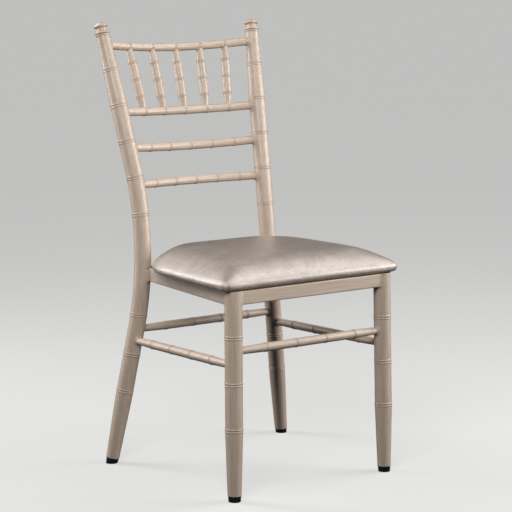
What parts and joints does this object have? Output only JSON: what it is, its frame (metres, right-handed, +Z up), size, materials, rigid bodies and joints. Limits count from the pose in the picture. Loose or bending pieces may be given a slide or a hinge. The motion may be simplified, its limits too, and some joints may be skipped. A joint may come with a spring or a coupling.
{
  "type": "restaurant chair",
  "caption": "Dining chair with a bamboo-ringed painted tube frame, an upholstered seat pad, a bowed ladder-and-spindle back, stretchers between the legs and knob finials.",
  "frame": {"origin": "on the floor, under the middle of the chair's bounding box", "axes": "+Z up, the sitter faces -Y, +X towards the right-hand pieces, which are on the right when the chair is seen from the front"},
  "size_m": [0.4746, 0.5031, 0.9206],
  "materials": {
    "frame_paint": "satin",
    "seat_leatherette": "satin",
    "plywood": "raw",
    "foam": "matte",
    "dust_cloth": "matte",
    "glide_plastic": "glossy",
    "steel": "zinc plated"
  },
  "bodies": {
    "root": {"back_post_left": "frame_paint", "back_post_right": "frame_paint", "back_rail_lower": "frame_paint", "back_rail_middle": "frame_paint", "back_rail_upper": "frame_paint", "corner_plate_front_left": "frame_paint", "corner_plate_front_right": "frame_paint", "corner_plate_rear_left": "frame_paint", "corner_plate_rear_right": "frame_paint", "crest_rail": "frame_paint", "dust_cover": "dust_cloth", "finial_left": "frame_paint", "finial_right": "frame_paint", "front_leg_left": "frame_paint", "front_leg_right": "frame_paint", "glide_front_left": "glide_plastic", "glide_front_right": "glide_plastic", "glide_rear_left": "glide_plastic", "glide_rear_right": "glide_plastic", "seat_board": "plywood", "seat_cover": "seat_leatherette", "seat_foam": "foam", "seat_rail_front": "frame_paint", "seat_rail_left": "frame_paint", "seat_rail_rear": "frame_paint", "seat_rail_right": "frame_paint", "seat_screws": "steel", "spindle_1": "frame_paint", "spindle_2": "frame_paint", "spindle_3": "frame_paint", "spindle_4": "frame_paint", "spindle_5": "frame_paint", "stretcher_front": "frame_paint", "stretcher_left": "frame_paint", "stretcher_rear": "frame_paint", "stretcher_right": "frame_paint", "tee_nuts": "steel"}
  },
  "joints": []
}
